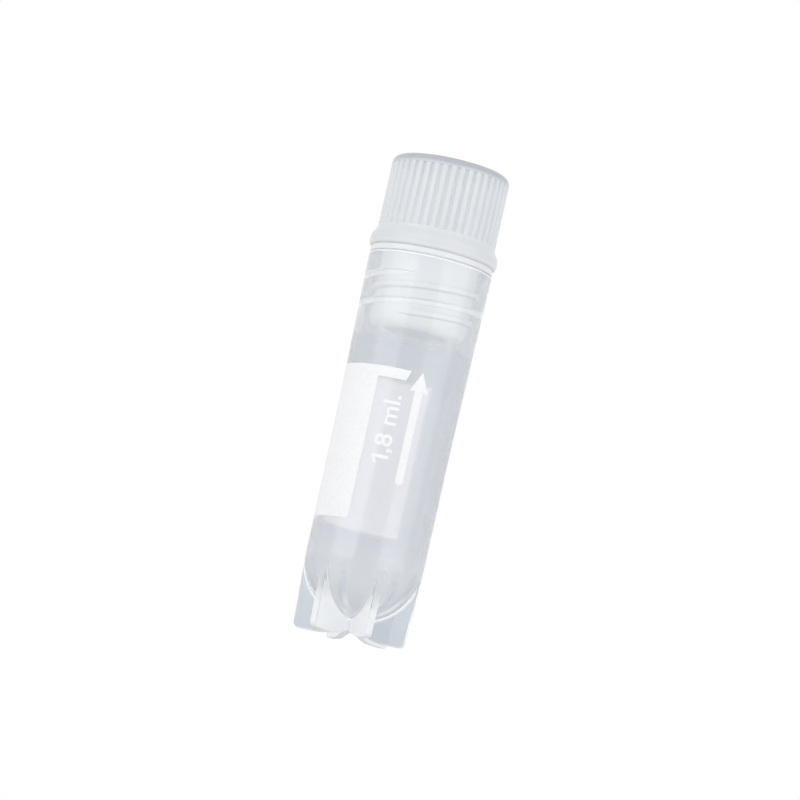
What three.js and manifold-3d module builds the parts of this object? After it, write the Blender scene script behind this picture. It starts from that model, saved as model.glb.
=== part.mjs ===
// Cryovial: a round-bottomed plastic tube that stands on a star foot, closed by a screw cap whose
// hollow threaded plug goes inside the mouth, with a soft sealing ring between flange and rim.
// Millimetres, +Z up. The origin is on the axis, at the level the feet stand on.

import * as THREE from 'three';
import { mergeVertices } from 'three/addons/utils/BufferGeometryUtils.js';
import Module from 'manifold-3d';

const wasm = await Module();
wasm.setup();

// ---- Driving dimensions -------------------------------------------------------------------------

// Tube wall, from the feet up: the outside widens a little towards the mouth.
const FOOT_RADIUS = 5.7;
const SHANK_RADIUS = 5.88;
const SHANK_Z = 6.0;
const WAIST_RADIUS = 5.94;
const WAIST_Z = 21.0;
const MOUTH_RADIUS = 6.23;
const RIM_Z = 38.2;
const RIM_ROUNDING = 0.25;

// Round bottom and chamber.
const DOME_RADIUS = 5.95;
const DOME_LOWEST_Z = 1.7;
const FLOOR_THICKNESS = 0.85;
const CHAMBER_RADIUS = 5.1;
const CHAMBER_TOP_RADIUS = 5.15;
const CHAMBER_TOP_Z = 29.6;
const THREAD_ZONE_Z = 31.4;
const THREAD_ZONE_RADIUS = 5.5;
const MOUTH_CHAMFER = 0.2;

// Star foot: flat fins that cross on the axis, flush with the wall, each standing on a small flat.
const FIN_COUNT = 6;
const FIN_THICKNESS = 0.75;
const FIRST_FIN_ANGLE = THREE.MathUtils.degToRad(19);
const FIN_CORNER_ROUNDING = 0.55;
const FOOT_ARCH_RADIUS = 3.4;
const FOOT_ARCH_HEIGHT = 0.7;

// Screw thread, right-hand: a ridge on the plug under a ridge inside the mouth.
const THREAD_PITCH = 2.8;
const THREAD_TURNS = 1.6;
const RIDGE_ROOT_WIDTH = 0.8;
const RIDGE_CREST_WIDTH = 0.45;
const TUBE_RIDGE_RADIUS = 5.1;
const PLUG_RIDGE_RADIUS = 5.3;
const PLUG_RIDGE_START_Z = 32.1;
const PLUG_RIDGE_START_ANGLE = THREE.MathUtils.degToRad(231);
const TUBE_RIDGE_ABOVE_PLUG_RIDGE = 1.1;
const THREAD_RUN_OUT = THREE.MathUtils.degToRad(30);

// Sealing ring.
const RING_CLEARANCE = 0.05;
const RING_THICKNESS = 0.55;
const RING_INNER_RADIUS = 5.1;
const RING_OUTER_RADIUS = 6.2;
const RING_ROUNDING = 0.12;

// Cap: flange on the ring, grooved head above it, hollow plug below it.
const TOTAL_HEIGHT = 48.3;
const FLANGE_BOTTOM_Z = RIM_Z + RING_THICKNESS + 2 * RING_CLEARANCE;
const FLANGE_RADIUS = 6.46;
const FLANGE_LOWER_ROUNDING = 0.35;
const FLANGE_LIP_TOP_Z = 39.75;
const FLARE_TOP_Z = 40.95;
const HEAD_RADIUS = 5.96;
const HEAD_EDGE_ROUNDING = 0.8;
const PLUG_RADIUS = 4.9;
const PLUG_END_Z = 30.9;
const PLUG_END_ROUNDING = 1.0;
const HOLLOW_RADIUS = 3.3;
const HOLLOW_MOUTH_CHAMFER = 0.25;
const HOLLOW_TOP_Z = 46.3;
const HOLLOW_TOP_ROUNDING = 0.8;

// Grip grooves around the head.
const GROOVE_COUNT = 42;
const GROOVE_WIDTH = 0.5;
const GROOVE_FLOOR_WIDTH = 0.24;
const GROOVE_DEPTH = 0.17;
const GROOVE_BOTTOM_Z = 41.0;
const GROOVE_TOP_Z = 47.45;

// Fineness of the faceted solids.
const TUBE_SEGMENTS = 72;
const CAP_SEGMENTS = 2 * GROOVE_COUNT;
const THREAD_STEPS_PER_TURN = 48;
const BALL_STEPS = 14;
const CORNER_STEPS = 4;
const SMALL_CORNER_STEPS = 3;
const MERGE_TOLERANCE = 1e-4;

// Lengths that keep cuts and joins clean.
const OVERLAP_FOR_JOINING = 0.2;
const PAST_THE_SURFACE = 1.0;
const LEAST_RIDGE_HEIGHT = 1e-3;

// ---- Solids -------------------------------------------------------------------------------------

// A closed three.js geometry as a manifold solid.
function solidFrom(geometry) {
  const bare = geometry.clone();
  bare.deleteAttribute('normal');
  bare.deleteAttribute('uv');
  const merged = mergeVertices(bare, MERGE_TOLERANCE);
  const corners = merged.index.array;
  const triangles = [];
  for (let i = 0; i < corners.length; i += 3) {
    const [a, b, c] = [corners[i], corners[i + 1], corners[i + 2]];
    if (a !== b && b !== c && c !== a) triangles.push(a, b, c);
  }
  return new wasm.Manifold(new wasm.Mesh({
    numProp: 3,
    vertProperties: new Float32Array(merged.attributes.position.array),
    triVerts: new Uint32Array(triangles),
  }));
}

function geometryFrom(solid) {
  const { vertProperties, triVerts } = solid.getMesh();
  const geometry = new THREE.BufferGeometry();
  geometry.setAttribute('position', new THREE.BufferAttribute(vertProperties, 3));
  geometry.setIndex(new THREE.BufferAttribute(triVerts, 1));
  geometry.computeVertexNormals();
  return geometry;
}

// Points of an arc in the (radius, height) plane; angles in degrees, 0 pointing outwards, 90 up.
function arc(centreRadius, centreZ, radius, fromDegrees, toDegrees, steps) {
  return Array.from({ length: steps + 1 }, (_, i) => {
    const angle = THREE.MathUtils.degToRad(fromDegrees + (toDegrees - fromDegrees) * i / steps);
    return [centreRadius + radius * Math.cos(angle), centreZ + radius * Math.sin(angle)];
  });
}

// From 1 at share 0 to 0 at share 1, level at both ends.
function fallingCurve(share) {
  return (1 + Math.cos(Math.PI * share)) / 2;
}

// The solid swept by a profile of [radius, height] points listed upwards along its outside.
function turned(points, segments) {
  const profile = points.map(([radius, z]) => new THREE.Vector2(Math.max(radius, 0), z));
  const geometry = new THREE.LatheGeometry(profile, segments);
  geometry.rotateX(Math.PI / 2);
  return solidFrom(geometry);
}

// A thread ridge of trapezoid section that fades into the wall at both ends.
function threadRidge(wallRadius, crestRadius, startZ, startAngle) {
  const inOrOut = Math.sign(crestRadius - wallRadius);
  const buriedRadius = wallRadius - inOrOut * OVERLAP_FOR_JOINING;
  const steps = Math.round(THREAD_TURNS * THREAD_STEPS_PER_TURN);
  const sweep = THREAD_TURNS * 2 * Math.PI;
  const sides = 4;
  const positions = [];
  for (let i = 0; i <= steps; i++) {
    const turn = sweep * i / steps;
    const fade = Math.min(1, turn / THREAD_RUN_OUT, (sweep - turn) / THREAD_RUN_OUT);
    const crest = buriedRadius + (crestRadius - buriedRadius) * fade + inOrOut * LEAST_RIDGE_HEIGHT;
    const z = startZ + THREAD_PITCH * turn / (2 * Math.PI);
    const section = [
      [buriedRadius, -RIDGE_ROOT_WIDTH / 2],
      [crest, -RIDGE_CREST_WIDTH / 2],
      [crest, RIDGE_CREST_WIDTH / 2],
      [buriedRadius, RIDGE_ROOT_WIDTH / 2],
    ];
    for (const [radius, offset] of section) {
      const angle = startAngle + turn;
      positions.push(radius * Math.cos(angle), radius * Math.sin(angle), z + offset);
    }
  }
  const corners = [];
  const quad = (a, b, c, d) => corners.push(a, b, c, a, c, d);
  for (let i = 0; i < steps; i++) {
    const [here, there] = [sides * i, sides * (i + 1)];
    for (let side = 0; side < sides; side++) {
      const next = (side + 1) % sides;
      quad(here + side, here + next, there + next, there + side);
    }
  }
  const last = sides * steps;
  quad(3, 2, 1, 0);
  quad(last, last + 1, last + 2, last + 3);
  if (inOrOut > 0) corners.reverse();
  const geometry = new THREE.BufferGeometry();
  geometry.setAttribute('position', new THREE.Float32BufferAttribute(positions, 3));
  geometry.setIndex(corners);
  return solidFrom(geometry);
}

// ---- Tube ---------------------------------------------------------------------------------------

// Everything inside the outer skin, with the feet's arched underside.
function tubeEnvelope() {
  const archSteps = 4;
  const arch = Array.from({ length: archSteps }, (_, i) => {
    const share = i / archSteps;
    return [FOOT_ARCH_RADIUS * share, FOOT_ARCH_HEIGHT * fallingCurve(share)];
  });
  return turned([
    ...arch,
    [FOOT_ARCH_RADIUS, 0],
    ...arc(
      FOOT_RADIUS - FIN_CORNER_ROUNDING, FIN_CORNER_ROUNDING, FIN_CORNER_ROUNDING,
      -90, 0, CORNER_STEPS),
    [SHANK_RADIUS, SHANK_Z],
    [WAIST_RADIUS, WAIST_Z],
    ...arc(
      MOUTH_RADIUS - RIM_ROUNDING, RIM_Z - RIM_ROUNDING, RIM_ROUNDING, 0, 90, SMALL_CORNER_STEPS),
    [0, RIM_Z],
  ], TUBE_SEGMENTS);
}

// The round bottom, wider than the skin above it so that it shows only between the fins.
function roundBottom() {
  const centreZ = DOME_LOWEST_Z + DOME_RADIUS;
  return turned([
    ...arc(0, centreZ, DOME_RADIUS, -90, 0, BALL_STEPS),
    [MOUTH_RADIUS + PAST_THE_SURFACE, centreZ + PAST_THE_SURFACE],
    [MOUTH_RADIUS + PAST_THE_SURFACE, RIM_Z + PAST_THE_SURFACE],
    [0, RIM_Z + PAST_THE_SURFACE],
  ], TUBE_SEGMENTS);
}

// Two opposite fins are one plate across the axis.
function finPlate(index) {
  const top = DOME_LOWEST_Z + DOME_RADIUS;
  const plate = new THREE.BoxGeometry(2 * MOUTH_RADIUS + PAST_THE_SURFACE, FIN_THICKNESS, top);
  plate.translate(0, 0, top / 2);
  plate.rotateZ(FIRST_FIN_ANGLE - Math.PI / 2 + index * 2 * Math.PI / FIN_COUNT);
  return solidFrom(plate);
}

function bore() {
  const floorZ = DOME_LOWEST_Z + FLOOR_THICKNESS;
  return turned([
    ...arc(0, floorZ + CHAMBER_RADIUS, CHAMBER_RADIUS, -90, 0, BALL_STEPS),
    [CHAMBER_TOP_RADIUS, CHAMBER_TOP_Z],
    [THREAD_ZONE_RADIUS, THREAD_ZONE_Z],
    [THREAD_ZONE_RADIUS, RIM_Z - MOUTH_CHAMFER],
    [THREAD_ZONE_RADIUS + MOUTH_CHAMFER, RIM_Z],
    [THREAD_ZONE_RADIUS + MOUTH_CHAMFER, RIM_Z + PAST_THE_SURFACE],
    [0, RIM_Z + PAST_THE_SURFACE],
  ], TUBE_SEGMENTS);
}

function tubeSolid() {
  let filled = roundBottom();
  for (let index = 0; index < FIN_COUNT / 2; index++) filled = filled.add(finPlate(index));
  const ridge = threadRidge(
    THREAD_ZONE_RADIUS, TUBE_RIDGE_RADIUS,
    PLUG_RIDGE_START_Z + TUBE_RIDGE_ABOVE_PLUG_RIDGE - THREAD_PITCH / 2,
    PLUG_RIDGE_START_ANGLE - Math.PI);
  return tubeEnvelope().intersect(filled).subtract(bore()).add(ridge);
}

// ---- Cap ----------------------------------------------------------------------------------------

function capBlank() {
  const plugEdge = arc(
    PLUG_RADIUS - PLUG_END_ROUNDING, PLUG_END_Z + PLUG_END_ROUNDING,
    PLUG_END_ROUNDING, -90, 0, CORNER_STEPS);
  const hollowTop = arc(
    HOLLOW_RADIUS - HOLLOW_TOP_ROUNDING, HOLLOW_TOP_Z - HOLLOW_TOP_ROUNDING,
    HOLLOW_TOP_ROUNDING, 90, 0, CORNER_STEPS);
  const flangeEdge = arc(
    FLANGE_RADIUS - FLANGE_LOWER_ROUNDING, FLANGE_BOTTOM_Z + FLANGE_LOWER_ROUNDING,
    FLANGE_LOWER_ROUNDING, -90, 0, SMALL_CORNER_STEPS);
  const flareSteps = 4;
  const flare = Array.from({ length: flareSteps + 1 }, (_, i) => {
    const share = i / flareSteps;
    const spread = (FLANGE_RADIUS - HEAD_RADIUS) * fallingCurve(share);
    return [HEAD_RADIUS + spread, FLANGE_LIP_TOP_Z + (FLARE_TOP_Z - FLANGE_LIP_TOP_Z) * share];
  });
  const headEdge = arc(
    HEAD_RADIUS - HEAD_EDGE_ROUNDING, TOTAL_HEIGHT - HEAD_EDGE_ROUNDING,
    HEAD_EDGE_ROUNDING, 0, 90, CORNER_STEPS);
  return turned([
    [0, HOLLOW_TOP_Z],
    ...hollowTop,
    [HOLLOW_RADIUS, PLUG_END_Z + HOLLOW_MOUTH_CHAMFER],
    [HOLLOW_RADIUS + HOLLOW_MOUTH_CHAMFER, PLUG_END_Z],
    ...plugEdge,
    [PLUG_RADIUS, FLANGE_BOTTOM_Z],
    ...flangeEdge,
    ...flare,
    ...headEdge,
    [0, TOTAL_HEIGHT],
  ], CAP_SEGMENTS);
}

function gripGrooves() {
  const section = new THREE.Shape([
    new THREE.Vector2(HEAD_RADIUS - GROOVE_DEPTH, -GROOVE_FLOOR_WIDTH / 2),
    new THREE.Vector2(HEAD_RADIUS, -GROOVE_WIDTH / 2),
    new THREE.Vector2(HEAD_RADIUS + PAST_THE_SURFACE, -GROOVE_WIDTH / 2),
    new THREE.Vector2(HEAD_RADIUS + PAST_THE_SURFACE, GROOVE_WIDTH / 2),
    new THREE.Vector2(HEAD_RADIUS, GROOVE_WIDTH / 2),
    new THREE.Vector2(HEAD_RADIUS - GROOVE_DEPTH, GROOVE_FLOOR_WIDTH / 2),
  ]);
  const depth = GROOVE_TOP_Z - GROOVE_BOTTOM_Z;
  const groove = new THREE.ExtrudeGeometry(section, { depth, bevelEnabled: false });
  groove.translate(0, 0, GROOVE_BOTTOM_Z);
  return Array.from({ length: GROOVE_COUNT }, (_, i) => {
    return solidFrom(groove.clone().rotateZ(i * 2 * Math.PI / GROOVE_COUNT));
  });
}

function capSolid() {
  const ridge = threadRidge(
    PLUG_RADIUS, PLUG_RIDGE_RADIUS, PLUG_RIDGE_START_Z, PLUG_RIDGE_START_ANGLE);
  return gripGrooves().reduce((head, groove) => head.subtract(groove), capBlank().add(ridge));
}

// ---- Sealing ring -------------------------------------------------------------------------------

function ringSolid() {
  const low = RIM_Z + RING_CLEARANCE;
  const high = low + RING_THICKNESS;
  const outside = RING_OUTER_RADIUS - RING_ROUNDING;
  return turned([
    [RING_INNER_RADIUS, high],
    [RING_INNER_RADIUS, low],
    ...arc(outside, low + RING_ROUNDING, RING_ROUNDING, -90, 0, SMALL_CORNER_STEPS),
    ...arc(outside, high - RING_ROUNDING, RING_ROUNDING, 0, 90, SMALL_CORNER_STEPS),
    [RING_INNER_RADIUS, high],
  ], TUBE_SEGMENTS);
}

// ---- Materials and assembly ---------------------------------------------------------------------

const naturalPlastic = new THREE.MeshStandardMaterial({ color: '#d9e0e6', roughness: 0.3, metalness: 0 });
const milkyPlastic = new THREE.MeshStandardMaterial({ color: '#e3e7ea', roughness: 0.4, metalness: 0 });
const clearSilicone = new THREE.MeshStandardMaterial({ color: '#e6e9ea', roughness: 0.5, metalness: 0 });

function piece(name, solid, material) {
  const mesh = new THREE.Mesh(geometryFrom(solid), material);
  mesh.name = name;
  return mesh;
}

const cryovial = new THREE.Group();
cryovial.add(piece('tube', tubeSolid(), naturalPlastic));
cryovial.add(piece('cap', capSolid(), milkyPlastic));
cryovial.add(piece('gasket', ringSolid(), clearSilicone));

export default cryovial;
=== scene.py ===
# Looks of a cryovial: a clear polypropylene tube on a star foot, its milky screw cap with a hollow
# threaded plug, the silicone ring between them, and the white ink on the tube. Metres, +Z up.

import math

import bmesh
import bpy
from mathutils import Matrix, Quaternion, Vector


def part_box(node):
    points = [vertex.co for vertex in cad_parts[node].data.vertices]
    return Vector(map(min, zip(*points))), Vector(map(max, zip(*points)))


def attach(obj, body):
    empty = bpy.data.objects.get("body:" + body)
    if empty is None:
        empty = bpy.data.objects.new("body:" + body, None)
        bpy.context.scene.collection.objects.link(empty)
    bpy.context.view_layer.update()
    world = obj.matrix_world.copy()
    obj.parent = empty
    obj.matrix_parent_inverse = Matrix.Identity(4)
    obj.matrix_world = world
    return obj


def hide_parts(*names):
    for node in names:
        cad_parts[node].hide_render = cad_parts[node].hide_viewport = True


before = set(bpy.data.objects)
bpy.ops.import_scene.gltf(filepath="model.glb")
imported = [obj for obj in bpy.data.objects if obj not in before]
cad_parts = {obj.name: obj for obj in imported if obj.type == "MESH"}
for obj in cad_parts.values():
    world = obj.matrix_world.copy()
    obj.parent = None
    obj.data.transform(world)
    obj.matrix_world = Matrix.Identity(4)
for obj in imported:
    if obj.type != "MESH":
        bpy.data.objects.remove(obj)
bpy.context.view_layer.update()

MM = 0.001

# ---- Sizes, in millimetres, from the frame where it has them ---------------------------------------

tube_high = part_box("tube")[1] / MM
cap_low, cap_high = (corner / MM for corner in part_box("cap"))
ring_low, ring_high = (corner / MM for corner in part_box("gasket"))

RIM_Z = tube_high.z
MOUTH_RADIUS = tube_high.x
WAIST_RADIUS, WAIST_Z = 5.94, 21.0
SHANK_RADIUS, SHANK_Z = 5.88, 6.0
FOOT_RADIUS = 5.7
RIM_ROUNDING = 0.25

DOME_RADIUS = 5.95
DOME_LOWEST_Z = 1.7
DOME_CENTRE_Z = DOME_LOWEST_Z + DOME_RADIUS
DOME_CENTRE = Vector((0, 0, DOME_CENTRE_Z))
FLOOR_THICKNESS = 0.85
CHAMBER_RADIUS = 5.1
CHAMBER_TOP_RADIUS, CHAMBER_TOP_Z = 5.15, 24.0
THREAD_ZONE_RADIUS, THREAD_ZONE_Z = 5.5, 30.0
MOUTH_CHAMFER = 0.2

# The tube is turned in columns; each fin is three columns wide where it meets the wall.
TUBE_STEPS = 144
COLUMN = 2 * math.pi / TUBE_STEPS
WALL_RING_HEIGHT, MOUTH_RING_HEIGHT = 0.9, 0.6
TAPER_RINGS = 8
FIN_COUNT, FIN_COLUMNS = 6, 3
FIN_SECTOR = 2 * math.pi / FIN_COUNT
# One fin stands 19 degrees to the right of the middle of the printed side, which faces -Y.
FIN_ANGLE = math.radians(19 - 90)
FIN_HALF_ANGLE = FIN_COLUMNS * COLUMN / 2
FIN_CORE_RADIUS = 1.0
FIN_CORNER_ROUNDING = 0.55
FIN_SHARP_EDGE, FIN_EDGE_SOFTNESS = math.radians(60), 0.09
FOOT_ARCH_RADIUS, FOOT_ARCH_HEIGHT = 3.4, 0.7
FOOT_RINGS = 18

THREAD_PITCH, THREAD_TURNS = 2.8, 1.6
RIDGE_ROOT_WIDTH, RIDGE_CREST_WIDTH, RIDGE_EDGE = 0.8, 0.45, 0.08
TUBE_RIDGE_RADIUS, PLUG_RIDGE_RADIUS = 5.1, 5.3
PLUG_RIDGE_START_Z, PLUG_RIDGE_START_ANGLE = 32.1, math.radians(231)
TUBE_RIDGE_ABOVE_PLUG_RIDGE = 1.1
# Over the run-out a ridge grows from a small share of its section to all of it.
THREAD_RUN_OUT, RIDGE_TIP_SHARE = math.radians(30), 0.02
RIDGE_BURIED = 0.2

TOP_Z = cap_high.z
FLANGE_RADIUS = cap_high.x
# The sealing ring is as far from the flange as from the rim.
FLANGE_BOTTOM_Z = ring_high.z + (ring_low.z - RIM_Z)
FLANGE_LOWER_ROUNDING = 0.35
FLANGE_LIP_TOP_Z, FLARE_TOP_Z = 39.75, 40.95
HEAD_RADIUS, HEAD_EDGE_ROUNDING = 5.96, 0.8
PLUG_RADIUS, PLUG_END_ROUNDING, PLUG_FILLET = 4.9, 1.0, 0.15
PLUG_END_Z = cap_low.z
HOLLOW_RADIUS, HOLLOW_TOP_Z = 3.3, 46.3
HOLLOW_TOP_ROUNDING, HOLLOW_MOUTH_ROUNDING = 0.8, 0.25
CAP_RING_HEIGHT, PLUG_RING_HEIGHT = 1.2, 0.8
GROOVE_COUNT = 42
GROOVE_SLOPE, GROOVE_DEPTH = 0.1, 0.17
GROOVE_BOTTOM_Z, GROOVE_TOP_Z = 41.0, 47.4
RIB_SHARP_EDGE, RIB_SOFTNESS = math.radians(35), 0.045

RING_INNER_RADIUS, RING_ROUNDING, RING_GAP = 5.1, 0.12, 0.01

# Ink, as angles round the wall from the middle of the printed side, in degrees, and heights.
INK_SINK, INK_THICKNESS = 0.01, 0.03
INK_RADIUS = WAIST_RADIUS
INK_CELL_WIDTH, INK_CELL_HEIGHT = 0.25, 1.5
PANEL_FROM, PANEL_TO = -210.5, -26.4
PANEL_BOTTOM_Z, PANEL_TOP_Z = 11.05, 26.5
PANEL_CORNER = 0.35
LINE_TO, LINE_BOTTOM_Z, LINE_END_SLANT = 4.4, 25.45, 0.35
ARROW_AT, ARROW_TIP_Z, ARROW_TAIL_Z = 15.2, 26.6, 15.25
ARROW_HEAD_WIDTH, ARROW_HEAD_HEIGHT, ARROW_BARB = 1.9, 1.9, 0.15
ARROW_SHAFT_WIDTH = 0.8
FIGURES = "1,8 ml."
FIGURES_FROM_Z, FIGURES_TO_Z, FIGURES_AT = 17.15, 23.85, 0.1
# Shares of the font's size: its letters are made a little lower and their strokes thicker.
FIGURES_LOWERED, STROKE_SPREAD = 0.91, 0.012
# The font's 1 is a bare bar: its width and height, again as shares of the font's size.
BAR_WIDTH, BAR_HEIGHT = 0.11, 0.69
# The flag it gets: how far it drops, its width at the bar, and its slanted tip, from the bar's top.
FLAG_DROP, FLAG_WIDTH = 0.6, 0.35
FLAG_TIP_FROM, FLAG_TIP_TO, FLAG_TIP_SLANT = 0.32, 0.62, 0.1

# How far from a round surface, or from a place, something still counts as on it.
ON_SURFACE, SAME_PLACE = 0.03, 0.005
SMOOTH_BELOW = math.radians(40)

# Camera: seen from a little below, with the top of the vial leaning to the right.
CAMERA_ELEVATION, CAMERA_ROLL = math.radians(-7.7), math.radians(12.5)
CAMERA_DISTANCE, CAMERA_CLIP_START, FRAME_WIDTH = 500.0, 10.0, 79.5
FRAME_SHIFT_X, FRAME_SHIFT_Z = -0.07, 0.1
FLOOR_SIZE, LAMP_SIZE = 1600, 900


# ---- Modelling helpers -----------------------------------------------------------------------------

def nothing_selected():
    if bpy.context.object and bpy.context.object.mode != "OBJECT":
        bpy.ops.object.mode_set(mode="OBJECT")
    bpy.ops.object.select_all(action="DESELECT")


def only(piece):
    """Selects that piece alone and makes it the active one."""
    nothing_selected()
    piece.select_set(True)
    bpy.context.view_layer.objects.active = piece


def edit(piece, kind="VERT", selected="DESELECT"):
    """Opens a piece in edit mode with nothing in it selected, or everything with "SELECT"."""
    only(piece)
    bpy.ops.object.mode_set(mode="EDIT")
    bpy.ops.mesh.select_mode(type=kind)
    bpy.ops.mesh.select_all(action=selected)


def middle(part):
    """The middle of a vertex, edge or face, in millimetres."""
    corners = getattr(part, "verts", [part])
    return sum((corner.co for corner in corners), Vector()) / len(corners) / MM


def choose(piece, kind, test):
    """Selects, in edit mode, the piece's verts, edges or faces that pass the test."""
    bpy.ops.mesh.select_all(action="DESELECT")
    mesh = bmesh.from_edit_mesh(piece.data)
    for part in getattr(mesh, kind):
        if test(part):
            part.select_set(True)
    bmesh.update_edit_mesh(piece.data, loop_triangles=False, destructive=False)


def turn_selected(angle):
    """Turns what is selected about the vial's axis; without a window the operator turns the other way."""
    bpy.ops.transform.rotate(value=-angle, orient_axis="Z", center_override=(0, 0, 0))


def applied(piece, kind, **settings):
    """Adds a modifier with its settings and applies it."""
    modifier = piece.modifiers.new(kind.lower(), kind)
    for name, value in settings.items():
        setattr(modifier, name, value)
    only(piece)
    bpy.ops.object.modifier_apply(modifier=modifier.name)


def joined_by_union(piece, addition):
    applied(piece, "BOOLEAN", operation="UNION", solver="EXACT", object=addition)
    bpy.data.objects.remove(addition)


def arc(centre_radius, centre_z, radius, start, end, steps):
    """Points of an arc in the (radius, height) plane; degrees, 0 outwards and 90 up."""
    points = []
    for i in range(steps + 1):
        angle = math.radians(start + (end - start) * i / steps)
        points.append((centre_radius + radius * math.cos(angle), centre_z + radius * math.sin(angle)))
    return points


def even_line(start, end, step):
    """Points from start to end, without start, spaced by about step."""
    count = max(1, round(math.dist(start, end) / step))
    return [tuple(a + (b - a) * i / count for a, b in zip(start, end)) for i in range(1, count + 1)]


def falling_curve(share):
    """Falls softly from 1 to 0 as the share goes from 0 to 1."""
    return (1 + math.cos(math.pi * share)) / 2


def drawn_chain(name, places, closed=False):
    """A chain of edges, extruded from place to place out of a small plane merged to its first point."""
    nothing_selected()
    bpy.ops.mesh.primitive_plane_add(size=MM)
    chain = bpy.context.object
    chain.name = chain.data.name = name
    edit(chain, selected="SELECT")
    bpy.ops.mesh.merge(type="CENTER")
    bpy.ops.transform.translate(value=places[0])
    for here, there in zip(places, places[1:]):
        bpy.ops.mesh.extrude_region_move(TRANSFORM_OT_translate={"value": there - here})
    if closed:
        bpy.ops.mesh.select_all(action="SELECT")
        bpy.ops.mesh.edge_face_add()
    bpy.ops.object.mode_set(mode="OBJECT")
    return chain


def upright(points, angle=0.0):
    """Places for (radius, height) points, in the half-plane at that angle."""
    across = Vector((math.cos(angle), math.sin(angle), 0)) * MM
    return [across * max(radius, 0) + Vector((0, 0, z * MM)) for radius, z in points]


def merged_facing_out():
    """In edit mode: merges doubles and turns every face outwards."""
    bpy.ops.mesh.select_all(action="SELECT")
    bpy.ops.mesh.remove_doubles(threshold=MM * 1e-3)
    bpy.ops.mesh.normals_make_consistent(inside=False)


def turned(name, points, steps, angle=0.0, closed=False):
    """A profile swept once round the axis, as a closed skin that faces outwards."""
    piece = drawn_chain(name, upright(points, angle), closed)
    edit(piece, selected="SELECT")
    if closed:
        bpy.ops.mesh.delete(type="ONLY_FACE")
        bpy.ops.mesh.select_all(action="SELECT")
    bpy.ops.mesh.spin(steps=steps, angle=2 * math.pi, center=(0, 0, 0), axis=(0, 0, 1))
    merged_facing_out()
    bpy.ops.object.mode_set(mode="OBJECT")
    return piece


def thread_ridge(name, base_radius, crest_radius, start_z, start_angle):
    """A ridge extruded station by station up the helix; it grows out of the wall and sinks back."""
    outwards = 1 if crest_radius > base_radius else -1
    root = base_radius - outwards * RIDGE_BURIED
    shoulder = crest_radius - outwards * RIDGE_EDGE
    half_root, half_crest, half_edge = RIDGE_ROOT_WIDTH / 2, RIDGE_CREST_WIDTH / 2, RIDGE_EDGE / 2
    section = [
        (root, start_z - half_root),
        (shoulder, start_z - half_crest - half_edge),
        (crest_radius, start_z - half_crest + half_edge),
        (crest_radius, start_z + half_crest - half_edge),
        (shoulder, start_z + half_crest + half_edge),
        (root, start_z + half_root),
    ]
    ridge = drawn_chain(name, upright(section, start_angle), closed=True)
    sweep, climb = THREAD_TURNS * 2 * math.pi, THREAD_PITCH * THREAD_TURNS
    stations = round(THREAD_TURNS * TUBE_STEPS)

    def grown(station):
        turn = sweep * station / stations
        return max(RIDGE_TIP_SHARE, min(1, turn / THREAD_RUN_OUT, (sweep - turn) / THREAD_RUN_OUT))

    def scale_station(station, share):
        angle = start_angle + sweep * station / stations
        z = start_z + climb * station / stations
        centre = Vector((root * math.cos(angle), root * math.sin(angle), z)) * MM
        bpy.ops.transform.resize(value=(share, share, share), center_override=centre)

    edit(ridge, selected="SELECT")
    scale_station(0, grown(0))
    for station in range(1, stations + 1):
        bpy.ops.mesh.extrude_region_move(TRANSFORM_OT_translate={"value": (0, 0, climb / stations * MM)})
        turn_selected(sweep / stations)
        if grown(station) != grown(station - 1):
            scale_station(station, grown(station) / grown(station - 1))
    merged_facing_out()
    bpy.ops.object.mode_set(mode="OBJECT")
    return ridge


# ---- Tube ------------------------------------------------------------------------------------------

def wall_radius(z):
    """Outer radius of the tube at a height, in millimetres."""
    stations = [(0.0, FOOT_RADIUS), (SHANK_Z, SHANK_RADIUS), (WAIST_Z, WAIST_RADIUS), (RIM_Z, MOUTH_RADIUS)]
    for (low_z, low_radius), (high_z, high_radius) in zip(stations, stations[1:]):
        if z <= high_z:
            return low_radius + (high_radius - low_radius) * (z - low_z) / (high_z - low_z)
    return MOUTH_RADIUS


def foot_underside(radius):
    """Height of the fins' lower edge at a radius: an arch, a level flat, and a rounded outer corner."""
    if radius < FOOT_ARCH_RADIUS:
        return FOOT_ARCH_HEIGHT * falling_curve(radius / FOOT_ARCH_RADIUS)
    into_corner = radius - (FOOT_RADIUS - FIN_CORNER_ROUNDING)
    if into_corner <= 0:
        return 0.0
    reach = min(into_corner, FIN_CORNER_ROUNDING)
    return FIN_CORNER_ROUNDING - math.sqrt(FIN_CORNER_ROUNDING ** 2 - reach ** 2)


def seam_below_wall():
    """Where the ball of the round bottom meets the wall: each round comes closer, and 20 are plenty."""
    z = DOME_CENTRE_Z
    for _ in range(20):
        z = DOME_CENTRE_Z - math.sqrt(DOME_RADIUS ** 2 - wall_radius(z) ** 2)
    return wall_radius(z), z


SEAM_RADIUS, SEAM_Z = seam_below_wall()
FIN_HALF_WIDTH = SEAM_RADIUS * math.sin(FIN_HALF_ANGLE)


def from_fin(place):
    """Angle of a place from the middle of the nearest fin."""
    angle = math.atan2(place.y, place.x) - FIN_ANGLE
    return (angle + FIN_SECTOR / 2) % FIN_SECTOR - FIN_SECTOR / 2


def on_a_fin(place):
    """Whether a place, in millimetres, is on a fin, outside the ball."""
    return (place - DOME_CENTRE).length > DOME_RADIUS + ON_SURFACE and place.z < SEAM_Z


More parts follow.
